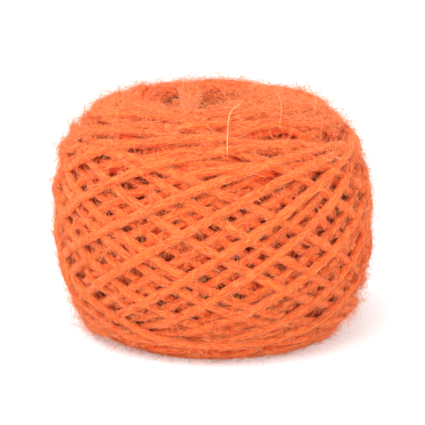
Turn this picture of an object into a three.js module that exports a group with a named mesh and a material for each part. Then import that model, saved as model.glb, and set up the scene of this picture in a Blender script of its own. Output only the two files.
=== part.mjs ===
// Ball of alpaca yarn
//
// A soft yarn wound on a spindle into a low, barrel-shaped ball, as one closed solid of
// its wound form. Millimetres, +Z up, standing on its flat spot at Z = 0, with the
// winding axis on Z. The front, where the ball shows best, faces -Y.
//
// Every turn of yarn is a loop in a tilted plane round the axis, and each loop is a
// little further round the axis than the one before. On the waist each loop therefore
// shows once rising and once falling, and the mesh there has one line of points along
// the middle of each strand, so that strands are ridges and the gaps between them are
// pits. On the crown and the keel the loops turn back and lie as rings round the axis.
// The hollow that the spindle left runs right through.

import * as THREE from "three";

// Wound form
const BALL_RADIUS = 43;
const WAIST_HEIGHT = 30;
const CROWN_RISE = 37.8;
const CROWN_FULLNESS = 2.8;
const KEEL_DROP = 44;
const KEEL_FULLNESS = 2.27;
const FLAT_SPOT_RADIUS = 26;
const KEEL_CORNER_RADIUS = 37.4;
const LEAN = -0.027;

// The crown sinks towards the front of the hollow
const FRONT_DIP = 5.5;
const DIP_OUTER_RADIUS = 32;
const DIP_INNER_RADIUS = 13;

// Hollow of the spindle, widest at its mouth, with a lip rolled over its rim
const RIM_RADIUS = 14;
const MOUTH_RADIUS = 9.6;
const MOUTH_DROP = 3.5;
const THROAT_RADIUS = 7;
const THROAT_DROP = 16;
const FOOT_RADIUS = 8.5;
const FOOT_RISE = 5;

// Winding: tilt of a loop's plane, and the direction of the highest point of each loop
// of the last round, in degrees from the front, oldest first
const LOOP_TILT = 33;
const LOOP_DIRECTIONS = [-148, -127, -110, -88, -71, -48, -28, -5, 20, 43, 64, 88, 109, 133, 159, 183];

// Relief below the outermost strands
const LOWER_STRAND_DEPTH = 1.4;
const GAP_DEPTH = 3;
const RING_DEPTH = 1.3;
const HOLLOW_RING_DEPTH = 0.5;
const RING_OFFSET = 0.9;
const RING_OFFSET_STEP = 55;

// Mesh: lines of points along and between the strands, and rows off the waist
const LINES_PER_STRAND = 3;
const FIRST_WAIST_ROW = 2;
const CROWN_ROWS = 20;
const HOLLOW_ROWS = 14;
const KEEL_ROWS = 8;
const OUTLINE_STEPS = 24;

// Loops that stand up on the crown, and dips between them: direction in degrees from
// the front, distance from the axis, height and spread
const CROWN_LUMPS = [
  { direction: -112, distance: 19, height: 1.8, spread: 5.5 },
  { direction: -146, distance: 15, height: 1.3, spread: 4.5 },
  { direction: -78, distance: 13, height: -2.2, spread: 3.2 },
  { direction: 165, distance: 20, height: 0.6, spread: 7 },
  { direction: 95, distance: 24, height: 0.8, spread: 7 },
];

const YARN_ORANGE = "#f0703a";
const DEGREE = Math.PI / 180;
const FULL_TURN = 2 * Math.PI;
const LINES_ROUND = LOOP_DIRECTIONS.length * LINES_PER_STRAND;
const LAST_WAIST_ROW = LINES_ROUND - FIRST_WAIST_ROW;
const TILT_SLOPE = Math.tan(LOOP_TILT * DEGREE);

const wrap = (value, size) => ((value % size) + size) % size;
const mix = THREE.MathUtils.lerp;
const smooth = THREE.MathUtils.smoothstep;

// Radius of the wound form at a height above the waist
function formRadius(height) {
  const reach = height > 0 ? CROWN_RISE : KEEL_DROP;
  const fullness = height > 0 ? CROWN_FULLNESS : KEEL_FULLNESS;
  const share = Math.min(Math.abs(height) / reach, 1);
  return BALL_RADIUS * (1 - share ** fullness) ** (1 / fullness);
}

// Height above the waist where a loop's plane cuts the form, for the cosine of the
// angle between a point and the loop's highest point
function loopHeight(cosine) {
  let height = 0;
  for (let step = 0; step < 30; step += 1) {
    height = mix(height, formRadius(height) * TILT_SLOPE * cosine, 0.6);
  }
  return height;
}

// Direction of a line of points round the axis, running on past a full turn
function lineDirection(line) {
  const strand = Math.floor(line / LINES_PER_STRAND);
  const between = line / LINES_PER_STRAND - strand;
  const directionOf = (index) => {
    const turns = Math.floor(index / LOOP_DIRECTIONS.length);
    return LOOP_DIRECTIONS[wrap(index, LOOP_DIRECTIONS.length)] * DEGREE + turns * FULL_TURN;
  };
  return mix(directionOf(strand), directionOf(strand + 1), between);
}

// Direction of the point where a falling line meets the rising line `row` lines on
const crossingDirection = (line, row) => (lineDirection(line) + lineDirection(line + row)) / 2;

function pointAt(direction, radius, height) {
  return new THREE.Vector3(
    radius * Math.sin(direction) + LEAN * (height - WAIST_HEIGHT),
    -radius * Math.cos(direction),
    height,
  );
}

// Depth of the waist's surface below the outermost strands: the newer of two loops
// that cross lies on top
function waistDepth(line, row) {
  const onFalling = wrap(line, LINES_PER_STRAND) === 0;
  const onRising = wrap(line + row, LINES_PER_STRAND) === 0;
  if (!onFalling && !onRising) {
    return GAP_DEPTH;
  }
  const risingIsNewer = wrap(line + row, LINES_ROUND) > wrap(line, LINES_ROUND);
  const onNewer = risingIsNewer ? onRising : onFalling;
  return onNewer ? 0 : LOWER_STRAND_DEPTH;
}

function waistPoint(line, row) {
  const direction = crossingDirection(line, row);
  const apart = (lineDirection(line + row) - lineDirection(line)) / 2;
  const height = loopHeight(Math.cos(apart));
  return pointAt(direction, formRadius(height) - waistDepth(line, row), WAIST_HEIGHT + height);
}

// Outline of the crown, from the shoulder, where the loops turn back, to the rim
function crownOutline() {
  const shoulderShare = loopHeight(1) / CROWN_RISE;
  const fromAngle = Math.asin(shoulderShare ** (CROWN_FULLNESS / 2));
  const toAngle = Math.acos((RIM_RADIUS / BALL_RADIUS) ** (CROWN_FULLNESS / 2));
  const points = [];
  for (let step = 0; step <= OUTLINE_STEPS; step += 1) {
    const angle = mix(fromAngle, toAngle, step / OUTLINE_STEPS);
    const radius = BALL_RADIUS * Math.cos(angle) ** (2 / CROWN_FULLNESS);
    const height = CROWN_RISE * Math.sin(angle) ** (2 / CROWN_FULLNESS);
    points.push(new THREE.Vector2(radius, WAIST_HEIGHT + height));
  }
  return new THREE.SplineCurve(points);
}

// Outline of the hollow, from the rim down to the table
function hollowOutline() {
  const top = crownOutline().points.at(-1).y;
  return new THREE.SplineCurve([
    new THREE.Vector2(RIM_RADIUS, top),
    new THREE.Vector2(MOUTH_RADIUS, top - MOUTH_DROP),
    new THREE.Vector2(THROAT_RADIUS, top - THROAT_DROP),
    new THREE.Vector2(THROAT_RADIUS, WAIST_HEIGHT),
    new THREE.Vector2(THROAT_RADIUS, FOOT_RISE),
    new THREE.Vector2(FOOT_RADIUS, 0),
  ]);
}

// Outline of the keel, rounded from the flat spot up to the lowest turns of the loops
function keelOutline() {
  const turn = loopHeight(-1);
  const edge = new THREE.Vector2(FLAT_SPOT_RADIUS, 0);
  const corner = new THREE.Vector2(KEEL_CORNER_RADIUS, 0);
  const shoulder = new THREE.Vector2(formRadius(turn), WAIST_HEIGHT + turn);
  return new THREE.QuadraticBezierCurve(edge, corner, shoulder);
}

// How far the crown sinks or rises at a place
function crownChange(direction, radius) {
  const inward = 1 - smooth(radius, DIP_INNER_RADIUS, DIP_OUTER_RADIUS);
  let change = -FRONT_DIP * inward * (1 + Math.cos(direction)) / 2;
  for (const lump of CROWN_LUMPS) {
    const apart = direction - lump.direction * DEGREE;
    const away = Math.hypot(radius - lump.distance * Math.cos(apart), lump.distance * Math.sin(apart));
    change += lump.height * Math.exp(-((away / lump.spread) ** 2));
  }
  return change;
}

// A point of a ring on an outline, sunk below it by a depth. Rings lie a little off the
// axis, each in a direction further round, and less so near the outline's ends.
function ringPoint(outline, direction, step, steps, depth) {
  const share = step / steps;
  const offset = RING_OFFSET * Math.cos(direction - step * RING_OFFSET_STEP * DEGREE);
  const place = share + offset * Math.sin(Math.PI * share) / outline.getLength();
  const along = outline.getTangentAt(place);
  const spot = outline.getPointAt(place);
  const radius = spot.x - depth * along.y;
  const height = spot.y + depth * along.x;
  const change = crownChange(direction, spot.x) * smooth(height, WAIST_HEIGHT, WAIST_HEIGHT + CROWN_RISE);
  return pointAt(direction, radius, height + change);
}

// All rows in order: up the waist, over the crown, down the hollow, across the flat
// spot and up the keel. Each row is half a step further back round the axis.
function formRows() {
  const rows = [];
  let row = LAST_WAIST_ROW;
  const addRow = (place) => {
    const current = row;
    rows.push(Array.from({ length: LINES_ROUND }, (_, line) => place(line, current)));
    row -= 1;
  };
  const addRings = (outline, first, steps, ringDepth) => {
    for (let step = first; step < steps; step += 1) {
      const depth = step % 2 === 1 ? ringDepth : 0;
      addRow((line, current) => {
        const direction = crossingDirection(line, current);
        return ringPoint(outline, direction, step, steps, depth);
      });
    }
  };
  while (row >= FIRST_WAIST_ROW) {
    addRow(waistPoint);
  }
  addRings(crownOutline(), 1, CROWN_ROWS, RING_DEPTH);
  addRings(hollowOutline(), 0, HOLLOW_ROWS, HOLLOW_RING_DEPTH);
  addRow((line, current) => pointAt(crossingDirection(line, current), FOOT_RADIUS, 0));
  addRings(keelOutline(), 0, KEEL_ROWS, RING_DEPTH);
  return { rows, closingShift: (row - LAST_WAIST_ROW) / 2 };
}

// One closed surface over the rows, the last joined to the first
function woundGeometry() {
  const { rows, closingShift } = formRows();
  const faces = [];
  for (let row = 0; row < rows.length; row += 1) {
    const last = row === rows.length - 1;
    const next = last ? 0 : row + 1;
    const shift = last ? closingShift : 0;
    for (let line = 0; line < LINES_ROUND; line += 1) {
      const here = row * LINES_ROUND + line;
      const beside = row * LINES_ROUND + wrap(line + 1, LINES_ROUND);
      const above = next * LINES_ROUND + wrap(line + shift, LINES_ROUND);
      const aboveBeside = next * LINES_ROUND + wrap(line + 1 + shift, LINES_ROUND);
      faces.push(here, beside, aboveBeside, here, aboveBeside, above);
    }
  }
  const geometry = new THREE.BufferGeometry().setFromPoints(rows.flat());
  geometry.setIndex(faces);
  geometry.computeBoundingBox();
  const centre = geometry.boundingBox.getCenter(new THREE.Vector3());
  geometry.translate(-centre.x, -centre.y, -geometry.boundingBox.min.z);
  geometry.computeVertexNormals();
  return geometry;
}

const yarn = new THREE.MeshStandardMaterial({ color: YARN_ORANGE, roughness: 0.95, metalness: 0 });
const yarnBall = new THREE.Mesh(woundGeometry(), yarn);
yarnBall.name = "yarn_ball";

const ball = new THREE.Group();
ball.add(yarnBall);

export default ball;
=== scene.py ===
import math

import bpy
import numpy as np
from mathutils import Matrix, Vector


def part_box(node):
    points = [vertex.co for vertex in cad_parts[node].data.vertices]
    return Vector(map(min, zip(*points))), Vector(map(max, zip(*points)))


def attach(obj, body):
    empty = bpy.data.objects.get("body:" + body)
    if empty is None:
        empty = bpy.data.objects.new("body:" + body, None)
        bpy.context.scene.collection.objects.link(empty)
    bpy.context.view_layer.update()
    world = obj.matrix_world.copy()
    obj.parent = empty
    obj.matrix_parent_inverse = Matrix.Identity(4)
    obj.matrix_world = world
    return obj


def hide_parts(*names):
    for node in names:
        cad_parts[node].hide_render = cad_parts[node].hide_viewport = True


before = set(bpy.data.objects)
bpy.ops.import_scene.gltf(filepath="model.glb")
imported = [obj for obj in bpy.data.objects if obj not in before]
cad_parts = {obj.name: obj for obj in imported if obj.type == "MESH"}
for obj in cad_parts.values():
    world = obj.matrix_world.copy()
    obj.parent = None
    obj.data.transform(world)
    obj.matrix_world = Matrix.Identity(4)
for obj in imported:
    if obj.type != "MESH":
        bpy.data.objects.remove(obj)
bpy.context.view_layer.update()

# Ball of alpaca yarn: the strands of the winding, their fibres, the light and the
# camera. Lengths are in millimetres and angles in radians unless a name says degrees,
# up to the meshes, which are in metres. Directions round the winding axis are measured
# from the front, -Y, towards +X, and heights of the form from the waist.

BALL_LOW, BALL_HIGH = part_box("yarn_ball")
MM = 0.001
DEGREE = math.pi / 180
FULL_TURN = 2 * math.pi
SEED = 20

# Wound form, as in the solid
BALL_RADIUS = (BALL_HIGH[0] - BALL_LOW[0]) / 2 / MM
WAIST_HEIGHT = 30
CROWN_RISE = 37.8
CROWN_FULLNESS = 2.8
KEEL_DROP = 44
KEEL_FULLNESS = 2.27
KEEL_TURN = -24.4
FLAT_SPOT_RADIUS = 26
KEEL_CORNER_RADIUS = 37.4
LEAN = -0.027
FRONT_DIP = 5.5
DIP_OUTER_RADIUS = 32
DIP_INNER_RADIUS = 13
RIM_RADIUS = 14
MOUTH_RADIUS = 9.6
MOUTH_DROP = 3.5
THROAT_RADIUS = 7
THROAT_DROP = 16
FOOT_RADIUS = 8.5
FOOT_RISE = 5

# Outline of the form: points of its parts, the share of the crown's rise that still
# belongs to the waist, heights where the two halves of the hollow's wall end, and the
# points over which it is smoothed
KEEL_POINTS = 40
WAIST_POINTS = 120
CROWN_POINTS = 80
WAIST_SHARE = 0.8
LOWER_WALL_END = -10
UPPER_WALL_END = 6
OUTLINE_SMOOTHING = 25

# Bumps and dips of the crown: direction in degrees, distance from the axis, height
# and spread
CROWN_LUMPS = [
    (-112, 19, 1.8, 5.5),
    (-146, 15, 1.3, 4.5),
    (-78, 13, -2.2, 3.2),
    (165, 20, 0.6, 7),
    (95, 24, 0.8, 7),
]

# Yarn, how it beds into the strands below it, how much its width varies and narrows at
# an end, and the length over which the places in its streaks are spread
STRAND_WIDTH = 2.35
STRAND_THICKNESS = 2.1
STACK_STEP = 0.85
END_SINK = 3.8
BEND_RADIUS = 11
STRAND_STEP = 1.4
PATH_INSET = 2.0
SURFACE_INSET = 0.1
SWELL = 0.1
END_WIDTH = 0.4
STREAK_STARTS = 1000

# Sides of a strand's tube in each part of the winding
SIDES = {"hollow": 6, "base": 6, "crown": 6, "inner": 5, "earlier": 6, "last": 8}

# Steps along a strand: over which its end sinks, for one turn, a whole round and one
# over the hollow, that it can span, that wait until the next are known, and over which
# it is smoothed
END_STEPS = 12
ROUND_END_STEPS = 20
BRIDGE_END_STEPS = 5
SPAN_STEPS = 8
HELD_STEPS = 4
STRAND_SMOOTHING = 5
ROUND_SMOOTHING = 7
OFFSET_SMOOTHING = 3
SWELL_SMOOTHING = 5

# Loops in general: tilt in degrees, spread of the older ones in direction, slope and
# lift, wander in height with the steps that smooth it, and the part of a turn in which
# one loop moves on to the next
LOOP_TILT = 33
LOOP_SPREAD = (2.0, 0.02, 0.5)
WANDER = 1.2
WANDER_SMOOTHING = 41
MOVE_ON = (0.25, 0.75)

# Loops of the last round as they pass the front, oldest first: direction in degrees of
# the loop's highest point, slope of its plane, and lift of the plane above the waist
LAST_ROUND = [
    (-148, 0.62, 0.5),
    (-126, 0.58, 0.6),
    (-111, 0.58, -0.8),
    (-88, 0.62, 0.0),
    (-71, 0.68, 0.8),
    (-48, 0.62, 0.0),
    (-29, 0.72, 4.6),
    (-5, 0.68, 4.0),
    (23, 0.59, 4.5),
    (50, 0.52, 4.2),
    (61, 0.65, -3.0),
    (89.5, 0.67, -2.0),
    (109, 0.70, -1.6),
    (132, 0.57, -3.2),
    (160, 0.65, -0.3),
    (183, 0.64, -1.0),
]

# Turns that were laid last on the crown: direction of the turning point and reach to
# each side of it in degrees, with the distance of the turning point from the axis
LATE_TURNS = [
    (-112, 16.0, 40),
    (-104, 20.5, 40),
    (-20, 25.0, 52),
    (12, 26.5, 52),
    (-32, 28.5, 52),
    (38, 27.0, 52),
    (-22, 31.5, 52),
    (8, 31.0, 52),
    (30, 32.5, 52),
    (-26, 35.5, 52),
    (4, 36.5, 52),
    (-14, 38.5, 52),
    (18, 39.5, 52),
]
LATE_WANDER = 0.3

# Strands that turn back on the crown and on the base: spacing of their rounds, and for
# an inner and an outer distance from the axis the strands of a round and their reach to
# each side in degrees, with the spread of direction, distance and wander
CROWN_STEP = 2.4
CROWN_DISTANCES = (12, 38)
CROWN_COUNTS = (8, 14)
CROWN_REACHES = (62, 34)
CROWN_SPREAD = (0.08, 0.7, 0.5)
BASE_STEP = 2.5
BASE_DISTANCES = (12, 34)
BASE_COUNTS = (7, 12)
BASE_REACHES = (55, 32)
BASE_SPREAD = 0.05
ARC_POINTS = 80
ARC_WAVE = 2.5
ARC_WAVE_TURN = 3

# Turns on the wall of the hollow: spacing, gap below the deepest, least and most tilt,
# and how much of a full turn each is
WALL_STEP = 1.9
WALL_GAP = 3
WALL_TILT = (0.4, 2.2)
WALL_TURN = 1.05

# Turns that climb out of the hollow on its far side: directions in degrees where each
# starts and ends, and how far it is past the rim there, down the hollow or out from it
HOLLOW_TURNS = [
    (220, 100, 13, 3),
    (205, 85, 9, -1),
    (195, 75, 6, -5),
    (180, 60, 3, -9),
]
CLIMB_POINTS = 40

# Strands that bridge the hollow, from its far side to the front of the crown: points
# with x, y and height above the table
BRIDGES = [
    [(-9.6, 15, 65.6), (-8.3, 5, 64.1), (-7.4, -8, 63.2), (-7.3, -23, 62.6), (-8.2, -29, 61.7)],
    [(-7.4, 16, 65.7), (-6.2, 5, 63.7), (-5.2, -8, 63.3), (-5.1, -23, 62.5), (-5.7, -29, 61.5)],
    [(-4.6, 15, 65.3), (-4.3, 6, 64.3), (-4.3, -5, 63.7), (-5.4, -19, 62.9), (-6.7, -27, 61.7)],
    [(13.4, 3, 65.2), (9.8, -6, 64.1), (6, -13, 63.2), (1.3, -19, 62.9), (-3.3, -24.5, 62.5),
     (-7.7, -29.5, 61.5)],
    [(16, 1, 64.9), (11.9, -8.5, 63.7), (7.8, -15.5, 62.8), (3, -21.5, 62.3), (-1.5, -27, 61.9),
     (-6.1, -32, 60.9)],
    [(18.9, -1, 64.3), (14.4, -11, 63.1), (10, -18, 62.1), (5.3, -24, 61.7), (0.5, -29, 60.9),
     (-4.2, -33.5, 59.8)],
    [(21.5, -3, 63.7), (16.9, -13.5, 62.5), (12.5, -20.5, 61.4), (7.8, -26.5, 60.9), (3, -31, 59.8)],
    [(24, -5, 62.9), (19.6, -15.5, 61.7), (15.2, -22.5, 60.7), (10.5, -28, 59.6)],
]

# Long pale fibres that cross the front: thickness, then points as above
STRAY_FIBRES = [
    (0.34, [(7.4, -19, 64.6), (6.3, -24, 64.6), (4.2, -29.5, 63.4), (3.6, -34.8, 59.8),
            (3.4, -40.2, 53.6)]),
    (0.15, [(16.5, -10, 66.6), (17.2, -20, 65.2), (17.0, -28, 63.4), (16.2, -34, 60.0)]),
    (0.24, [(-9.2, 14, 67.4), (-8.6, 8, 67.6), (-7.8, -3, 66.2)]),
]
STRAY_STATIONS = 14
CURVE_POINTS = 24

# Map of the winding: rows along the outline and columns round the axis, with the least
# distance from the axis that loops reach on the base and on the crown
ROW_STEP = 0.4
COLUMNS = 720
COLUMN_STEP = FULL_TURN / COLUMNS
BASE_TURN_RADIUS = 10.5
CROWN_TURN_RADIUS = 12.5
HALVINGS = 30
LEVEL_SPREAD = 3.2
LEVEL_SHARPNESS = 0.9

# How the yarn sinks round the mouth of the hollow, in all, towards the back and towards
# a direction on the left, and how much painted shade darkens it from a little way inside, where shade
# falls down the hollow
RIM_DROP = 1.2
RIM_DROP_BACK = 1.6
RIM_DROP_LEFT = 1.8
RIM_DROP_DIRECTION = -120
RIM_DROP_WIDTH = 0.35
RIM_DROP_SPREAD = 8.5
HOLLOW_GLOOM = 0.6
GLOOM_START = 2

# Body under the strands: rows, columns of the map for one of its own, how far it lies
# below the turns that ridge it as a share of a strand, and its streaks round and along
BODY_ROWS = 130
BODY_COLUMN_STEP = 2
BODY_INSET = 0.25
BODY_STREAKS = (60, 0.5)

# Columns of a strand's path, after its point and its three directions
PATH_OFFSET = 12
PATH_EXPOSED = 13

# Fibres root where less yarn than this height covers a strand, and a few below that
COVER_HEIGHT = 1.2
LEAST_EXPOSED = 0.02

# Fibres: their number, length, where they head and how far they stand out, and radius.
# Lengths are a least and a most, or a gamma curve's shape and scale and two limits.
LYING_COUNT = 33000
LYING_LENGTH = (2.0, 5.0)
LYING_TURN = 0.3
LYING_BOW = (0.05, 0.35)
LYING_SINK = 0.1
LYING_TIP = 0.3
LYING_RADIUS = (0.05, 0.1)
BRIDGING_COUNT = 28000
BRIDGING_LENGTH = (5.0, 0.8, 1.5, 9)
BRIDGING_ALONG = 0.8
BRIDGING_LIFT = (0.0, 0.7)
BRIDGING_DEPTH_LIFT = (0, 0.8)
BRIDGING_DEEPEST = 3
BRIDGING_SHADE = 0.3
BRIDGING_DIP = (-0.08, 0.06)
BRIDGING_RADIUS = (0.02, 0.042)
HALO_COUNT = 33000
HALO_LENGTH = (4.0, 0.75, 1.0, 7)
HALO_RISE = (0.05, 0.8)
HALO_MIDDLE = (0.5, 0.7)
HALO_CURL = (0.0, 0.3)
HALO_RADIUS = (0.026, 0.056)
LOOSE_COUNT = 5500
LOOSE_LENGTH = (4.0, 1.2, 2.0, 11)
LOOSE_LEVEL = 0.8
LOOSE_LIFT = (0.1, 0.6)
LOOSE_CURL = (0.1, 0.45)
LOOSE_SHARES = (0, 0.3, 0.65, 1)
LOOSE_DROOP = 0.45
LOOSE_RADIUS = (0.02, 0.04)
FIBRE_SIDES = 3
ROOT_OVERHANG = 0.2
ROOTLESS_ENDS = 2

# Where the yarn is matted, on the right of the crown: place, size, least height, and
# how many more fibres root there, and on the crown as a whole between two heights
MATTED_PLACE = (15, -20)
MATTED_SIZE = (14, 12)
MATTED_HEIGHT = 58
MATTED_SHARE = 0.5
CROWN_SHARE = 0.3
CROWN_HEIGHTS = (52, 60)

# Least heights of strands and fibres above the table
LOWEST_STRAND = 0.02
LOWEST_FIBRE = 0.05

# Painted shade of the yarn: tints by depth below the surface of the ball, darker and redder in the
# pits where less light reaches
DEEPEST = 7
PIT_SHADE_TINTS = [
    (0.5, (1.0, 1.0, 1.0)),
    (1.8, (1.0, 0.82, 0.72)),
    (3.2, (0.88, 0.52, 0.40)),
    (6.5, (0.42, 0.16, 0.10)),
]

# Colours of the yarn along its streaks, and of single fibres from darkest to palest
YARN_TINTS = [(0.34, (0.70, 0.09, 0.014)), (0.5, (0.93, 0.165, 0.034)), (0.64, (1.0, 0.255, 0.068))]
FIBRE_TINTS = [(0.0, (0.66, 0.08, 0.014)), (0.5, (0.92, 0.17, 0.036)), (1.0, (1.0, 0.33, 0.11))]
PALE_TINTS = [(0.0, (0.95, 0.20, 0.04)), (0.5, (1.0, 0.31, 0.10)), (1.0, (1.0, 0.45, 0.22))]

# Camera, as the photograph was taken, whose pixels the names speak of
PHOTO_SIZE = 425
FOCAL_LENGTH_PIXELS = 1258
CAMERA_DISTANCE = 348
CAMERA_ELEVATION = 13
WAIST_PIXEL = (213, 218)
SENSOR_WIDTH = 36

# In metres: the nearest that the camera sees, and half the side of the table
NEAREST_SEEN = 0.01
TABLE_HALF = 3.0

RANDOM = np.random.default_rng(SEED)


def smooth(low, high, value):
    share = np.clip((np.asarray(value, float) - low) / (high - low), 0, 1)
    return share * share * (3 - 2 * share)


def unit(vectors):
    return vectors / np.maximum(np.linalg.norm(vectors, axis=-1, keepdims=True), 1e-9)


def blurred(values, count):
    """A row of values smoothed over a number of neighbours."""
    window = np.hanning(count + 2)[1:-1]
    return np.convolve(np.pad(values, count // 2, mode="edge"), window / window.sum(), mode="valid")


def run_length(points):
    """How far along a line of points each of them is."""
    steps = np.linalg.norm(np.diff(points, axis=0), axis=1)
    return np.concatenate([[0], np.cumsum(steps)])


def evenly(points, step):
    """Points at even steps along a line of points."""
    length = run_length(points)
    even = np.linspace(0, length[-1], max(int(length[-1] / step), 4))
    return np.stack([np.interp(even, length, column) for column in points.T], axis=-1)


def near_ends(count, reach):
    """A row of values that are 1 at both ends and 0 from a reach of steps inwards."""
    steps = np.arange(count)
    return 2 - smooth(0, reach, steps) - smooth(0, reach, steps[::-1])


def curved(points):
    """A smooth line through a few points, by cubic pieces between them."""
    points = np.array(points, float)
    ends = np.concatenate([2 * points[:1] - points[1:2], points, 2 * points[-1:] - points[-2:-1]])
    share = np.linspace(0, 1, CURVE_POINTS, endpoint=False)[:, None]
    line = []
    for a, b, c, d in zip(ends[:-3], ends[1:-2], ends[2:-1], ends[3:]):
        bend = (2 * a - 5 * b + 4 * c - d) * share ** 2 + (3 * (b - c) + d - a) * share ** 3
        line.append((2 * b + (c - a) * share + bend) / 2)
    return np.concatenate([*line, points[-1:]])


# Wound form

def form_radius(height):
    """Radius of the wound form at a height above the waist."""
    above = height > 0
    reach = np.where(above, CROWN_RISE, KEEL_DROP)
    fullness = np.where(above, CROWN_FULLNESS, KEEL_FULLNESS)
    share = np.abs(height) / reach
    return BALL_RADIUS * (1 - share ** fullness) ** (1 / fullness)


def crown_height(radius):
    """Height of the crown above the waist at a distance from the axis."""
    share = radius / BALL_RADIUS
    return CROWN_RISE * (1 - share ** CROWN_FULLNESS) ** (1 / CROWN_FULLNESS)


def wound_outline():
    """The outline, from inside the foot of the hollow, out over the flat spot, up the
    waist, in over the crown and down the hollow: radius, height and outward direction."""
    throat_up = [(THROAT_RADIUS, LOWER_WALL_END), (THROAT_RADIUS, FOOT_RISE - WAIST_HEIGHT)]
    flat_spot = [(FOOT_RADIUS, -WAIST_HEIGHT), (FLAT_SPOT_RADIUS, -WAIST_HEIGHT)]
    share = np.linspace(0, 1, KEEL_POINTS)[1:, None]
    edge = np.array([FLAT_SPOT_RADIUS, -WAIST_HEIGHT])
    corner = np.array([KEEL_CORNER_RADIUS, -WAIST_HEIGHT])
    shoulder = np.array([form_radius(KEEL_TURN), KEEL_TURN])
    keel = (1 - share) ** 2 * edge + 2 * share * (1 - share) * corner + share ** 2 * shoulder
    heights = np.linspace(KEEL_TURN, CROWN_RISE * WAIST_SHARE, WAIST_POINTS)[1:]
    waist = np.stack([form_radius(heights), heights], axis=-1)
    radii = np.linspace(waist[-1, 0], RIM_RADIUS, CROWN_POINTS)[1:]
    crown = np.stack([radii, crown_height(radii)], axis=-1)
    top = crown[-1, 1]
    throat_down = [
        (MOUTH_RADIUS, top - MOUTH_DROP),
        (THROAT_RADIUS, top - THROAT_DROP),
        (THROAT_RADIUS, UPPER_WALL_END),
    ]
    points = np.concatenate([throat_up, flat_spot, keel, waist, crown, throat_down])
    points = evenly(points, ROW_STEP / 4)
    points = np.stack([blurred(column, OUTLINE_SMOOTHING) for column in points.T], axis=-1)
    points = evenly(points, ROW_STEP)
    along = unit(np.gradient(points, axis=0))
    return np.column_stack([points, along[:, 1], -along[:, 0]])


OUTLINE = wound_outline()
ROWS = len(OUTLINE)
STATIONS = np.arange(ROWS) * ROW_STEP
BASE_ROW = np.searchsorted(OUTLINE[:, 0], BASE_TURN_RADIUS)
RIM_ROW = ROWS - np.searchsorted(OUTLINE[::-1, 0], CROWN_TURN_RADIUS)


def outline_at(along):
    return [np.interp(along, STATIONS, column) for column in OUTLINE.T]


def crown_change(direction, radius, height):
    """How far the crown sinks or rises at a place, for a height above the waist."""
    inward = 1 - smooth(DIP_INNER_RADIUS, DIP_OUTER_RADIUS, radius)
    change = -FRONT_DIP * inward * (1 + np.cos(direction)) / 2
    for place, distance, rise, spread in CROWN_LUMPS:
        apart = direction - place * DEGREE
        away = np.hypot(radius - distance * np.cos(apart), distance * np.sin(apart))
        change = change + rise * np.exp(-((away / spread) ** 2))
    return change * smooth(0, CROWN_RISE, height)


def on_ball(direction, along, offset):
    """Points at a place round the axis and along the outline, an offset outside it."""
    radius, height, out, up = outline_at(along)
    level = height + up * offset + crown_change(direction, radius, height)
    out = radius + out * offset
    x = out * np.sin(direction) + LEAN * level
    return np.stack([x, -out * np.cos(direction), WAIST_HEIGHT + level], axis=-1)


def outward_at(direction, along):
    _, _, out, up = outline_at(along)
    return unit(np.stack([out * np.sin(direction), -out * np.cos(direction), up], axis=-1))


def loop_along(apart, slope, lift):
    """Where a tilted loop lies along the outline, by halving, for the angle between a
    place and the loop's highest point."""
    low = np.full(np.shape(apart), STATIONS[BASE_ROW])
    high = np.full(np.shape(apart), STATIONS[RIM_ROW])
    for _ in range(HALVINGS):
        middle = (low + high) / 2
        radius, height, out, up = outline_at(middle)
        radius = radius - out * PATH_INSET
        height = height - up * PATH_INSET
        over = height - lift - radius * slope * np.cos(apart) > 0
        high = np.where(over, middle, high)
        low = np.where(over, low, middle)
    return (low + high) / 2


def rim_drop(direction, along):
    """How far the yarn at the rim of the hollow sinks, more at the back and the left."""
    backward = (1 - np.cos(direction)) / 2
    apart = direction - RIM_DROP_DIRECTION * DEGREE
    leftward = np.exp(-((1 - np.cos(apart)) / RIM_DROP_WIDTH))
    drop = RIM_DROP + RIM_DROP_BACK * backward + RIM_DROP_LEFT * leftward
    return drop * np.exp(-(((along - STATIONS[RIM_ROW]) / RIM_DROP_SPREAD) ** 2))


def gloom(along):
    """How much deeper a place down the hollow counts as, for its painted shade."""
    return HOLLOW_GLOOM * np.maximum(along - STATIONS[RIM_ROW] - GLOOM_START, 0)


# Winding

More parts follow.
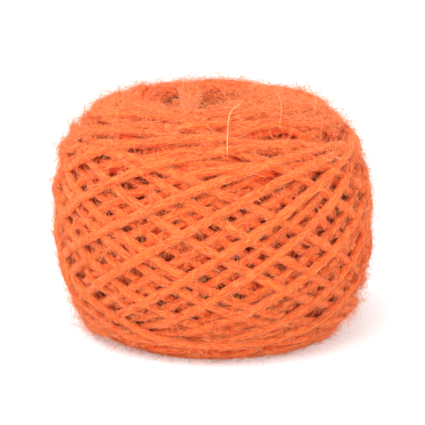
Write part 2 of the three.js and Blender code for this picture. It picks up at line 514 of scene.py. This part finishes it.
class Winding:
    """Lays strands one after another. For each place round the axis and along the
    outline it keeps the height at which the middle of the next strand would rest."""

    def __init__(self):
        self.rest = np.zeros((ROWS, COLUMNS))
        self.under = np.zeros((ROWS, COLUMNS))
        self.laid = []

    def read(self, grid, direction, along):
        row = np.clip(np.round(along / ROW_STEP).astype(int), 0, ROWS - 1)
        return grid[row, np.round(direction / COLUMN_STEP).astype(int) % COLUMNS]

    def press(self, direction, along, height):
        """Raise the map under a strand, as far as its round section reaches."""
        radius = outline_at(along)[0][:, None, None]
        reach = int(STRAND_WIDTH / ROW_STEP) + 1
        across = int(STRAND_WIDTH / (radius.min() * COLUMN_STEP)) + 1
        row = np.round(along / ROW_STEP).astype(int)[:, None, None]
        column = np.round(direction / COLUMN_STEP).astype(int)[:, None, None]
        row = row + np.arange(-reach, reach + 1)[None, :, None]
        column = column + np.arange(-across, across + 1)[None, None, :]
        beside = row * ROW_STEP - along[:, None, None]
        around = (column * COLUMN_STEP - direction[:, None, None]) * radius
        away = (beside ** 2 + around ** 2) / STRAND_WIDTH ** 2
        bulge = height[:, None, None] + STACK_STEP * np.sqrt(np.clip(1 - away, 0, 1))
        row, column = np.broadcast_arrays(row, column)
        near = (away < 1) & (row >= 0) & (row < ROWS)
        np.maximum.at(self.rest, (row[near], column[near] % COLUMNS), bulge[near])

    def settle(self, rest, before, after):
        """Heights of a taut strand over the heights that hold it up."""
        count = SPAN_STEPS
        rest = np.concatenate([before, rest, after])
        rest = np.pad(rest, (count - len(before), count - len(after)), mode="edge")
        height = rest[count:-count].copy()
        for step in range(1, count + 1):
            drop = (step * STRAND_STEP) ** 2 / (2 * BEND_RADIUS)
            ahead = rest[count + step:len(rest) - count + step]
            behind = rest[count - step:len(rest) - count - step]
            height = np.maximum(height, np.maximum(ahead, behind) - drop)
        return height

    def lay(self, direction, along, part):
        """One strand, whose ends sink into the ball."""
        none = np.zeros(0)
        height = self.settle(self.read(self.rest, direction, along), none, none)
        height = height - END_SINK * near_ends(len(height), END_STEPS)
        height = blurred(height, STRAND_SMOOTHING)
        self.press(direction, along, height)
        self.laid.append([direction, along, height, part])

    def wind(self, direction, along, chunk, part=None):
        """A long strand that crosses itself, laid a piece at a time. Without a part it
        only raises the map."""
        heights = np.zeros(0)
        for start in range(0, len(direction), chunk):
            end = min(start + chunk, len(direction))
            here = slice(start, end)
            ahead = slice(end, min(end + SPAN_STEPS, len(direction)))
            rest = self.read(self.rest, direction[here], along[here])
            after = self.read(self.rest, direction[ahead], along[ahead])
            settled = self.settle(rest, heights[-SPAN_STEPS:], after)
            heights = np.concatenate([heights, settled])
            until = end if end == len(direction) else end - HELD_STEPS
            ready = slice(max(start - HELD_STEPS, 0), until)
            self.press(direction[ready], along[ready], heights[ready])
        if part:
            heights = blurred(heights, ROUND_SMOOTHING)
            heights = heights - END_SINK * near_ends(len(heights), ROUND_END_STEPS)
            self.laid.append([direction, along, heights, part])

    def level(self):
        """The height map evened out, near its highest strands."""
        weight = np.exp(LEVEL_SHARPNESS * self.rest)
        waves = np.fft.rfft(weight, axis=1)
        spread = LEVEL_SPREAD / OUTLINE[:, :1]
        waves *= np.exp(-((np.arange(waves.shape[1])[None] * spread) ** 2) / 2)
        weight = np.fft.irfft(waves, n=COLUMNS, axis=1)
        apart = (STATIONS[:, None] - STATIONS[None]) / LEVEL_SPREAD
        kernel = np.exp(-apart ** 2 / 2)
        kernel /= kernel.sum(axis=1, keepdims=True)
        return np.log(kernel @ weight) / LEVEL_SHARPNESS

    def flatten(self):
        """Press everything laid so far back to the wound form."""
        level = self.level()
        self.rest -= level
        self.under -= level
        for strand in self.laid:
            strand[2] = strand[2] - self.read(level, strand[0], strand[1])


def round_paths(shift, jitter):
    """Directions and places along the outline of one round of loops, as one line."""
    table = np.array([LAST_ROUND[-1], *LAST_ROUND, LAST_ROUND[0], LAST_ROUND[1]], float)
    table[0, 0] -= 360
    table[-2:, 0] += 360
    count = len(LAST_ROUND)
    index = np.arange(count + 2) + shift
    rows = np.arange(len(table))
    loops = np.stack([np.interp(index, rows, column) for column in table.T], axis=-1)
    loops += RANDOM.normal(0, 1, loops.shape) * np.array(LOOP_SPREAD) * jitter
    steps = int(count * FULL_TURN * BALL_RADIUS / math.cos(LOOP_TILT * DEGREE) / STRAND_STEP)
    turn = np.linspace(0.5, count + 0.5, steps)
    whole = np.floor(turn).astype(int)
    share = smooth(*MOVE_ON, turn - whole)[:, None]
    values = loops[whole] * (1 - share) + loops[np.minimum(whole + 1, count + 1)] * share
    direction = (turn - 1) * FULL_TURN
    wander = blurred(RANDOM.standard_normal(steps), WANDER_SMOOTHING) * WANDER
    apart = direction - values[:, 0] * DEGREE
    along = loop_along(apart, values[:, 1], values[:, 2] + wander)
    return direction, along, steps // count


def arc_path(place, station, reach, wander):
    """A stretch of a loop round the middle of the ball, from its turning point at a
    direction and station, as far as an angle to each side."""
    radius, height, out, up = outline_at(station)
    slope = (height - up * PATH_INSET) / (radius - out * PATH_INSET)
    apart = np.linspace(-reach, reach, ARC_POINTS)
    if slope > 0:
        along = loop_along(apart, slope, 0)
    else:
        along = loop_along(apart + math.pi, -slope, 0)
    along = along + wander * np.sin(apart * ARC_WAVE + place * ARC_WAVE_TURN)
    direction = place + apart
    path = on_ball(direction, along, -PATH_INSET)
    length = run_length(path)
    even = np.linspace(0, length[-1], max(int(length[-1] / STRAND_STEP), 10))
    return np.interp(even, length, direction), np.interp(even, length, along)


def station_of(radius, crown):
    """Place along the outline of a distance from the axis, on the crown or the base."""
    if crown:
        rows = slice(ROWS // 2, RIM_ROW + 1)
        return np.interp(-radius, -OUTLINE[rows, 0], STATIONS[rows])
    rows = slice(BASE_ROW, ROWS // 3)
    return np.interp(radius, OUTLINE[rows, 0], STATIONS[rows])


def wind_hollow(winding):
    """Turns on the wall of the hollow, each tilted its own way, the deepest first."""
    for station in np.arange(STATIONS[-1] - WALL_GAP, STATIONS[RIM_ROW] + 1, -WALL_STEP):
        tilt = RANDOM.uniform(*WALL_TILT)
        turn = RANDOM.uniform(0, FULL_TURN)
        steps = int(FULL_TURN * outline_at(station)[0] / STRAND_STEP)
        direction = np.linspace(0, FULL_TURN * WALL_TURN, steps) + turn
        along = station + tilt * np.sin(direction + turn * 2)
        winding.lay(direction, along, part="hollow")


def wind_late(winding):
    """The last turns on the crown, and those that climb out of the hollow."""
    for place, distance, reach in LATE_TURNS:
        station = station_of(distance, crown=True)
        direction, along = arc_path(place * DEGREE, station, reach * DEGREE, LATE_WANDER)
        winding.lay(direction, along, part="crown")
    rim = STATIONS[RIM_ROW]
    for start, end, first, last in HOLLOW_TURNS:
        direction = np.linspace(start, end, CLIMB_POINTS) * DEGREE
        along = rim + np.linspace(first, last, CLIMB_POINTS)
        winding.lay(direction, along, part="hollow")


def wind_crown(winding, nearest, furthest):
    """Rounds of strands that turn back on the crown, the innermost laid first."""
    turned, moved, wandered = CROWN_SPREAD
    for distance in np.arange(nearest, furthest, CROWN_STEP):
        loops = int(np.interp(distance, CROWN_DISTANCES, CROWN_COUNTS))
        turn = RANDOM.uniform(0, FULL_TURN)
        reach = np.interp(distance, CROWN_DISTANCES, CROWN_REACHES) * DEGREE
        for index in range(loops):
            place = turn + index * FULL_TURN / loops + RANDOM.normal(0, turned)
            station = station_of(distance + RANDOM.normal(0, moved), crown=True)
            direction, along = arc_path(place, station, reach, RANDOM.normal(0, wandered))
            winding.lay(direction, along, part="crown")
        winding.flatten()


def wind_base(winding, nearest, furthest):
    """Strands that turn back on the flat spot and the keel."""
    for distance in np.arange(nearest, furthest, BASE_STEP):
        loops = int(np.interp(distance, BASE_DISTANCES, BASE_COUNTS))
        turn = RANDOM.uniform(0, FULL_TURN)
        reach = np.interp(distance, BASE_DISTANCES, BASE_REACHES) * DEGREE
        for index in range(loops):
            place = turn + index * FULL_TURN / loops + RANDOM.normal(0, BASE_SPREAD)
            station = station_of(distance, crown=False)
            direction, along = arc_path(place, station, reach, 0.0)
            winding.lay(direction, along, part="base")
        winding.flatten()


# Meshes

def new_piece(name, points, faces, uvs, depth, material):
    """A mesh object from points in millimetres, arrays of faces with their UVs, and how
    deep each point lies below the surface of the ball, which sets its painted shade."""
    mesh = bpy.data.meshes.new(name)
    mesh.vertices.add(len(points))
    mesh.vertices.foreach_set("co", (points * MM).astype(np.float32).ravel())
    corners = np.concatenate([part.ravel() for part in faces])
    sizes = np.concatenate([np.full(len(part), part.shape[1]) for part in faces])
    mesh.loops.add(len(corners))
    mesh.loops.foreach_set("vertex_index", corners.astype(np.int32))
    mesh.polygons.add(len(sizes))
    starts = np.concatenate([[0], np.cumsum(sizes)[:-1]])
    mesh.polygons.foreach_set("loop_start", starts.astype(np.int32))
    layer = mesh.uv_layers.new(name="along_strand")
    layer.data.foreach_set("uv", np.concatenate([part.reshape(-1, 2) for part in uvs]).ravel())
    mesh.attributes.new("depth", "FLOAT", "POINT")
    mesh.attributes["depth"].data.foreach_set("value", depth.astype(np.float32).ravel())
    mesh.update(calc_edges=True)
    mesh.validate()
    mesh.polygons.foreach_set("use_smooth", np.ones(len(mesh.polygons), bool))
    mesh.materials.append(material)
    piece = bpy.data.objects.new(name, mesh)
    bpy.context.scene.collection.objects.link(piece)
    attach(piece, "root")
    return piece


class Strands:
    """Collects tubes of yarn for one piece, and their paths for the fibres."""

    def __init__(self, sides):
        self.sides = sides
        self.points, self.depths = [], []
        self.quads, self.quad_uvs = [], []
        self.caps, self.cap_uvs = [], []
        self.count = 0
        self.paths = []

    def add(self, path, outward, offset, exposed):
        """A closed tube along a path, an ellipse in section, flat against the ball."""
        sides = self.sides
        tangents = unit(np.gradient(path, axis=0))
        across = unit(np.cross(tangents, outward))
        outward = np.cross(across, tangents)
        swell = 1 + blurred(RANDOM.standard_normal(len(path)), SWELL_SMOOTHING) * SWELL
        swell[[0, -1]] *= END_WIDTH
        angles = (np.arange(sides) / sides - 0.25) * FULL_TURN
        side = np.cos(angles)[None, :] * (STRAND_WIDTH / 2 * swell)[:, None]
        rise = np.sin(angles)[None, :] * (STRAND_THICKNESS / 2 * swell)[:, None]
        rings = path[:, None] + side[..., None] * across[:, None] + rise[..., None] * outward[:, None]
        rings[..., 2] = np.maximum(rings[..., 2], LOWEST_STRAND)
        number = np.arange(len(path) * sides).reshape(len(path), sides) + self.count
        beside = np.roll(number, -1, axis=1)
        length = run_length(path)
        along = np.repeat((length + RANDOM.uniform(0, STREAK_STARTS))[:, None], sides, axis=1)
        around = np.repeat(np.arange(sides)[None] / sides, len(path), axis=0)
        here = np.stack([along, around], axis=-1)
        there = np.stack([along, around + 1 / sides], axis=-1)
        self.points.append(rings.reshape(-1, 3))
        self.depths.append((-offset[:, None] - rise).ravel())
        quads = np.stack([number[:-1], beside[:-1], beside[1:], number[1:]], axis=-1)
        quad_uvs = np.stack([here[:-1], there[:-1], there[1:], here[1:]], axis=-2)
        self.quads.append(quads.reshape(-1, 4))
        self.quad_uvs.append(quad_uvs.reshape(-1, 4, 2))
        self.caps.append(np.stack([number[0, ::-1], number[-1]]))
        self.cap_uvs.append(np.zeros((2, sides, 2)))
        self.count += len(path) * sides
        self.paths.append(np.column_stack([path, tangents, across, outward, offset, exposed]))

    def build(self, name, material):
        """All tubes as one piece."""
        faces = [np.concatenate(self.quads), np.concatenate(self.caps)]
        uvs = [np.concatenate(self.quad_uvs), np.concatenate(self.cap_uvs)]
        points, depths = np.concatenate(self.points), np.concatenate(self.depths)
        new_piece(name, points, faces, uvs, depths, material)


def add_wound_body(offsets, material):
    """The yarn under the strands, ridged by the turns below: one closed surface that
    runs over the outside and down through the hollow."""
    rows = np.unique(np.round(np.linspace(0, ROWS - 1, BODY_ROWS)).astype(int))
    columns = np.arange(0, COLUMNS, BODY_COLUMN_STEP)
    direction = np.repeat(columns[None] * COLUMN_STEP, len(rows), axis=0)
    along = np.repeat(rows[:, None] * ROW_STEP, len(columns), axis=1)
    offset = offsets[np.ix_(rows, columns)] - STRAND_THICKNESS * BODY_INSET
    offset = offset - rim_drop(direction, along)
    points = on_ball(direction, along, offset)
    number = np.arange(points.shape[0] * points.shape[1]).reshape(points.shape[:2])
    above, beside = np.roll(number, -1, axis=0), np.roll(number, -1, axis=1)
    faces = np.stack([number, beside, np.roll(above, -1, axis=1), above], axis=-1)
    uv = np.stack([direction, along], axis=-1) * BODY_STREAKS
    uv_above, uv_beside = np.roll(uv, -1, axis=0), np.roll(uv, -1, axis=1)
    uvs = np.stack([uv, uv_beside, np.roll(uv_above, -1, axis=1), uv_above], axis=-2)
    faces, uvs = [faces.reshape(-1, 4)], [uvs.reshape(-1, 4, 2)]
    # Depth for the painted shade, with places down the hollow counted deeper.
    depth = gloom(along) - offset
    piece = new_piece("wound_body", points.reshape(-1, 3), faces, uvs, depth, material)
    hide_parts("yarn_ball")


# Fibres

def fibre_roots(sites, count):
    """Random places on the outer half of the exposed strands."""
    weights = sites[:, PATH_EXPOSED]
    rows = sites[RANDOM.choice(len(sites), count, p=weights / weights.sum())]
    tangent, across, outward = rows[:, 3:6], rows[:, 6:9], rows[:, 9:12]
    angle = RANDOM.uniform(-ROOT_OVERHANG, math.pi + ROOT_OVERHANG, count)[:, None]
    side, rise = np.cos(angle), np.sin(angle)
    root = rows[:, :3] + tangent * RANDOM.uniform(-0.5, 0.5, (count, 1)) * STRAND_STEP
    root = root + side * across * STRAND_WIDTH / 2 + rise * outward * STRAND_THICKNESS / 2
    depth = -rows[:, PATH_OFFSET] - rise[:, 0] * STRAND_THICKNESS / 2
    return root, tangent, unit(side * across + rise * outward), outward, depth


def fibre_lengths(curve, count):
    shape, scale, least, most = curve
    return RANDOM.gamma(shape, scale, (count, 1)).clip(least, most)


def levelled(heading, outward, share=1):
    """Headings without a share of what leads away from the ball."""
    return unit(heading - outward * np.sum(heading * outward, axis=1, keepdims=True) * share)


def curls(limits, count):
    return unit(RANDOM.standard_normal((count, 3))) * RANDOM.uniform(*limits, (count, 1))


def spindles(name, stations, radius, depth, material):
    """Closed three-sided fibres along rows of stations, pointed at both ends."""
    count, length = stations.shape[:2]
    direction = unit(stations[:, -1] - stations[:, 0])
    first = unit(np.cross(direction, unit(RANDOM.standard_normal((count, 3)))))
    second = np.cross(direction, first)
    points = [stations[:, :1]]
    for station in range(1, length - 1):
        for side in range(FIBRE_SIDES):
            angle = side * FULL_TURN / FIBRE_SIDES
            offset = math.cos(angle) * first + math.sin(angle) * second
            points.append((stations[:, station] + offset * radius[:, None])[:, None])
    points = np.concatenate([*points, stations[:, -1:]], axis=1)
    points[..., 2] = np.maximum(points[..., 2], LOWEST_FIBRE)
    corners = points.shape[1]
    rings = length - 2
    last_ring = FIBRE_SIDES * (rings - 1)
    pattern = []
    for side in range(FIBRE_SIDES):
        here, beside = 1 + side, 1 + (side + 1) % FIBRE_SIDES
        pattern.append((0, beside, here))
        for ring in range(0, last_ring, FIBRE_SIDES):
            above = ring + FIBRE_SIDES
            pattern.append((here + ring, beside + ring, beside + above))
            pattern.append((here + ring, beside + above, here + above))
        pattern.append((here + last_ring, beside + last_ring, corners - 1))
    faces = np.array(pattern)[None] + (np.arange(count) * corners)[:, None, None]
    uv = np.zeros((count, len(pattern), 3, 2))
    uv[..., 0] = RANDOM.uniform(0, 1, count)[:, None, None]
    faces, uvs = [faces.reshape(-1, 3)], [uv.reshape(-1, 3, 2)]
    depths = np.repeat(depth[:, None], corners, axis=1)
    new_piece(name, points.reshape(-1, 3), faces, uvs, depths, material)


def lying_fibres(name, sites, count, material):
    """Fibres of a strand's own surface, nearly along it."""
    root, tangent, normal, _, depth = fibre_roots(sites, count)
    length = RANDOM.uniform(*LYING_LENGTH, (count, 1))
    turn = RANDOM.normal(0, LYING_TURN, (count, 1))
    heading = unit(tangent + np.cross(tangent, normal) * turn)
    bow = RANDOM.uniform(*LYING_BOW, (count, 1))
    stations = np.stack([
        root - heading * length / 2 - normal * LYING_SINK,
        root + normal * bow,
        root + heading * length / 2 + normal * bow * LYING_TIP,
    ], axis=1)
    # Lying fibres take the painted shade of the depth at their root.
    spindles(name, stations, RANDOM.uniform(*LYING_RADIUS, count), depth, material)


def bridging_fibres(name, sites, count, material):
    """Straight fibres that lie over the strands and the pits in any direction."""
    root, tangent, _, outward, depth = fibre_roots(sites, count)
    length = fibre_lengths(BRIDGING_LENGTH, count)
    heading = RANDOM.standard_normal((count, 3))
    heading = heading + tangent * RANDOM.choice([-1, 1], (count, 1)) * BRIDGING_ALONG
    heading = levelled(heading, outward)
    lift = RANDOM.uniform(*BRIDGING_LIFT, (count, 1))
    depth_lift = RANDOM.uniform(*BRIDGING_DEPTH_LIFT, (count, 1))
    lift = lift + depth[:, None].clip(0, BRIDGING_DEEPEST) * depth_lift
    middle = root + outward * lift
    dip = outward * length * RANDOM.uniform(*BRIDGING_DIP, (count, 1))
    stations = np.stack([
        middle - heading * length / 2 + dip,
        middle,
        middle + heading * length / 2 + dip,
    ], axis=1)
    radius = RANDOM.uniform(*BRIDGING_RADIUS, count)
    # Bridging fibres take a share of their root's painted shade.
    spindles(name, stations, radius, depth * BRIDGING_SHADE, material)


def halo_fibres(name, sites, count, material):
    """Short fibres that stand a little out of the yarn all over."""
    root, _, _, outward, _ = fibre_roots(sites, count)
    length = fibre_lengths(HALO_LENGTH, count)
    heading = levelled(RANDOM.standard_normal((count, 3)), outward)
    rise = RANDOM.uniform(*HALO_RISE, (count, 1))
    ahead, up = HALO_MIDDLE
    middle = root + length * (heading * ahead + outward * rise * up)
    curl = curls(HALO_CURL, count)
    tip = root + length * (heading + curl + outward * rise)
    stations = np.stack([root, middle, tip], axis=1)
    spindles(name, stations, RANDOM.uniform(*HALO_RADIUS, count), np.zeros(count), material)


def loose_fibres(name, sites, count, material):
    """Longer fibres that stand out of the yarn and curl over."""
    root, _, _, outward, _ = fibre_roots(sites, count)
    length = fibre_lengths(LOOSE_LENGTH, count)
    heading = levelled(RANDOM.standard_normal((count, 3)), outward, LOOSE_LEVEL)
    lift = RANDOM.uniform(*LOOSE_LIFT, (count, 1))
    curl = curls(LOOSE_CURL, count)
    stations = []
    for share in LOOSE_SHARES:
        flat = heading * share + curl * share ** 2
        rise = outward * lift * (share - LOOSE_DROOP * share ** 2)
        stations.append(root + length * (flat + rise))
    stations = np.stack(stations, axis=1)
    spindles(name, stations, RANDOM.uniform(*LOOSE_RADIUS, count), np.zeros(count), material)


def stray_fibres(name, material):
    """The few long fibres that cross the front."""
    stations = []
    for _, points in STRAY_FIBRES:
        line = curved(points)
        stations.append(line[np.linspace(0, len(line) - 1, STRAY_STATIONS).astype(int)])
    thickness = np.array([thickness for thickness, _ in STRAY_FIBRES])
    spindles(name, np.stack(stations), thickness / 2, np.zeros(len(thickness)), material)


# Materials

def link_ramp(tree, source, stops):
    """A colour ramp over a value, from stops of position and colour."""
    made = tree.nodes.new("ShaderNodeValToRGB")
    elements = made.color_ramp.elements
    while len(elements) < len(stops):
        elements.new(0.5)
    for element, (position, colour) in zip(elements, stops):
        element.position = position
        element.color = (*colour, 1)
    tree.links.new(source, made.inputs["Fac"])
    return made.outputs["Color"]


def shaded_by_depth(tree, colour):
    """A colour multiplied by painted shade: a ramp over the depth below the ball's surface that
    darkens it where shade falls.
    """
    depth = tree.nodes.new("ShaderNodeAttribute")
    depth.attribute_name = "depth"
    share = tree.nodes.new("ShaderNodeMapRange")
    share.inputs["From Min"].default_value = 0
    share.inputs["From Max"].default_value = DEEPEST
    tree.links.new(depth.outputs["Fac"], share.inputs["Value"])
    shade = tree.nodes.new("ShaderNodeMix")
    shade.data_type = "RGBA"
    shade.blend_type = "MULTIPLY"
    shade.inputs["Factor"].default_value = 1
    tree.links.new(colour, shade.inputs["A"])
    stops = [(place / DEEPEST, tint) for place, tint in PIT_SHADE_TINTS]
    tree.links.new(link_ramp(tree, share.outputs["Result"], stops), shade.inputs["B"])
    return shade.outputs["Result"]


def base_material(name):
    material = bpy.data.materials.new(name)
    material.use_nodes = True
    tree = material.node_tree
    shader = tree.nodes["Principled BSDF"]
    shader.inputs["Roughness"].default_value = 0.85
    shader.inputs["Specular IOR Level"].default_value = 0.12
    shader.inputs["Sheen Weight"].default_value = 0.3
    shader.inputs["Sheen Roughness"].default_value = 0.5
    shader.inputs["Sheen Tint"].default_value = (1.0, 0.6, 0.4, 1)
    return material, tree, shader


def yarn_material():
    """Loosely twisted orange fibre, streaked along the strand, with painted shade that darkens it in
    the pits.
    """
    material, tree, shader = base_material("alpaca_strand")
    uv = tree.nodes.new("ShaderNodeUVMap")
    uv.uv_map = "along_strand"
    stretch = tree.nodes.new("ShaderNodeMapping")
    stretch.inputs["Scale"].default_value = (0.3, 9, 1)
    stretch.inputs["Rotation"].default_value = (0, 0, 0.2)
    tree.links.new(uv.outputs["UV"], stretch.inputs["Vector"])
    streaks = tree.nodes.new("ShaderNodeTexNoise")
    streaks.inputs["Scale"].default_value = 1.6
    streaks.inputs["Detail"].default_value = 4
    streaks.inputs["Roughness"].default_value = 0.65
    tree.links.new(stretch.outputs["Vector"], streaks.inputs["Vector"])
    colour = link_ramp(tree, streaks.outputs["Fac"], YARN_TINTS)
    tree.links.new(shaded_by_depth(tree, colour), shader.inputs["Base Color"])
    shader.inputs["Subsurface Weight"].default_value = 0.15
    shader.inputs["Subsurface Radius"].default_value = (1.0, 0.35, 0.15)
    shader.inputs["Subsurface Scale"].default_value = 0.001
    bump = tree.nodes.new("ShaderNodeBump")
    bump.inputs["Strength"].default_value = 0.5
    bump.inputs["Distance"].default_value = 0.0005
    tree.links.new(streaks.outputs["Fac"], bump.inputs["Height"])
    tree.links.new(bump.outputs["Normal"], shader.inputs["Normal"])
    return material


def fibre_material(name, stops):
    """Single fibres, each a little lighter or darker than the next."""
    material, tree, shader = base_material(name)
    uv = tree.nodes.new("ShaderNodeUVMap")
    uv.uv_map = "along_strand"
    parts = tree.nodes.new("ShaderNodeSeparateXYZ")
    tree.links.new(uv.outputs["UV"], parts.inputs["Vector"])
    colour = link_ramp(tree, parts.outputs["X"], stops)
    tree.links.new(shaded_by_depth(tree, colour), shader.inputs["Base Color"])
    return material


# Camera and light

def add_camera():
    elevation = CAMERA_ELEVATION * DEGREE
    back = Vector((0, -math.cos(elevation), math.sin(elevation)))
    up = Vector((0, math.sin(elevation), math.cos(elevation)))
    waist = Vector((0, 0, WAIST_HEIGHT))
    scale = CAMERA_DISTANCE / FOCAL_LENGTH_PIXELS
    across = (PHOTO_SIZE / 2 - WAIST_PIXEL[0]) * scale
    aim = waist + Vector((across, 0, 0)) + up * (WAIST_PIXEL[1] - PHOTO_SIZE / 2) * scale
    camera = bpy.data.objects.new("camera", bpy.data.cameras.new("camera"))
    camera.data.sensor_width = SENSOR_WIDTH
    camera.data.lens = FOCAL_LENGTH_PIXELS / PHOTO_SIZE * SENSOR_WIDTH
    camera.data.clip_start = NEAREST_SEEN
    camera.location = (waist + back * CAMERA_DISTANCE) * MM
    camera.rotation_euler = (aim * MM - camera.location).to_track_quat("-Z", "Y").to_euler()
    bpy.context.scene.collection.objects.link(camera)
    bpy.context.scene.camera = camera


def add_area_light(name, place, size, power):
    light = bpy.data.lights.new(name, "AREA")
    light.size = size
    light.energy = power
    lamp = bpy.data.objects.new(name, light)
    lamp.location = place
    target = Vector((0, 0, WAIST_HEIGHT * MM))
    lamp.rotation_euler = (target - lamp.location).to_track_quat("-Z", "Y").to_euler()
    bpy.context.scene.collection.objects.link(lamp)


def add_stage():
    """A white table that runs into a white room."""
    world = bpy.data.worlds.new("studio")
    world.use_nodes = True
    world.node_tree.nodes["Background"].inputs["Color"].default_value = (1, 1, 1, 1)
    world.node_tree.nodes["Background"].inputs["Strength"].default_value = 1.0
    bpy.context.scene.world = world
    mesh = bpy.data.meshes.new("table")
    half = TABLE_HALF
    corners = [(-half, -half, 0), (half, -half, 0), (half, half, 0), (-half, half, 0)]
    mesh.from_pydata(corners, [], [(0, 1, 2, 3)])
    table = bpy.data.objects.new("table", mesh)
    material = bpy.data.materials.new("table_white")
    material.use_nodes = True
    shader = material.node_tree.nodes["Principled BSDF"]
    shader.inputs["Base Color"].default_value = (0.64, 0.64, 0.64, 1)
    shader.inputs["Roughness"].default_value = 0.9
    shader.inputs["Specular IOR Level"].default_value = 0.1
    shader.inputs["Emission Color"].default_value = (1, 1, 1, 1)
    shader.inputs["Emission Strength"].default_value = 0.36
    mesh.materials.append(material)
    bpy.context.scene.collection.objects.link(table)
    add_area_light("key", place=(-0.3, -0.4, 0.8), size=0.6, power=8.5)
    add_area_light("fill", place=(0.6, -0.5, 0.4), size=0.7, power=1.5)


# The ball

add_camera()
add_stage()

winding = Winding()
for shift in (0.0, 0.25):
    winding.wind(*round_paths(shift, jitter=1.0))
    winding.flatten()
winding.under = winding.rest.copy()
wind_hollow(winding)
wind_base(winding, nearest=11.5, furthest=38)
wind_crown(winding, nearest=12.5, furthest=31)
winding.wind(*round_paths(shift=-0.25, jitter=0.8), part="inner")
winding.flatten()
winding.wind(*round_paths(shift=-0.5, jitter=0.6), part="earlier")
winding.flatten()
wind_base(winding, nearest=29, furthest=34)
wind_crown(winding, nearest=30, furthest=40)
wind_late(winding)
winding.wind(*round_paths(shift=0.0, jitter=0.0), part="last")
winding.flatten()

surface = np.mean(winding.laid[-1][2]) + STRAND_THICKNESS / 2 - SURFACE_INSET
parts = {}
for direction, along, height, part in winding.laid:
    offset = blurred(height - surface, OFFSET_SMOOTHING) - rim_drop(direction, along)
    covered = winding.read(winding.rest, direction, along) - height - STACK_STEP
    exposed = np.clip(COVER_HEIGHT - covered, LEAST_EXPOSED, 1)
    strands = parts.setdefault(part, Strands(SIDES[part]))
    path, outward = on_ball(direction, along, offset), outward_at(direction, along)
    # The offset handed on sets the depth used for painted shade and for lifting bridging fibres, with
    # places down the hollow counted deeper.
    strands.add(path, outward, offset - gloom(along), exposed)

for points in BRIDGES:
    path = evenly(curved(points), STRAND_STEP)
    path[:, 2] -= END_SINK * near_ends(len(path), BRIDGE_END_STEPS)
    upward = np.tile([0.0, 0.0, 1.0], (len(path), 1))
    offset = np.full(len(path), -STRAND_THICKNESS / 2)
    parts["crown"].add(path, upward, offset, exposed=np.ones(len(path)))

strand_look = yarn_material()
fibre_look = fibre_material("alpaca_fibre", FIBRE_TINTS)
pale_look = fibre_material("alpaca_fibre_pale", PALE_TINTS)
add_wound_body(winding.under - surface, strand_look)
for name, strands in parts.items():
    strands.build(name + "_strands", strand_look)

paths = [path for strands in parts.values() for path in strands.paths]
sites = np.concatenate([path[ROOTLESS_ENDS:-ROOTLESS_ENDS] for path in paths])
away = (sites[:, :2] - MATTED_PLACE) / MATTED_SIZE
matted = np.hypot(away[:, 0], away[:, 1]) + np.maximum(MATTED_HEIGHT - sites[:, 2], 0)
denser = 1 + MATTED_SHARE * np.exp(-matted ** 2)
sites[:, PATH_EXPOSED] *= denser + CROWN_SHARE * smooth(*CROWN_HEIGHTS, sites[:, 2])
lying_fibres("lying_fibres", sites, LYING_COUNT, fibre_look)
bridging_fibres("bridging_fibres", sites, BRIDGING_COUNT, pale_look)
halo_fibres("halo_fibres", sites, HALO_COUNT, pale_look)
loose_fibres("loose_fibres", sites, LOOSE_COUNT, pale_look)
stray_fibres("stray_fibres", pale_look)

view = bpy.context.scene.view_settings
view.view_transform = "Standard"
view.look = "None"
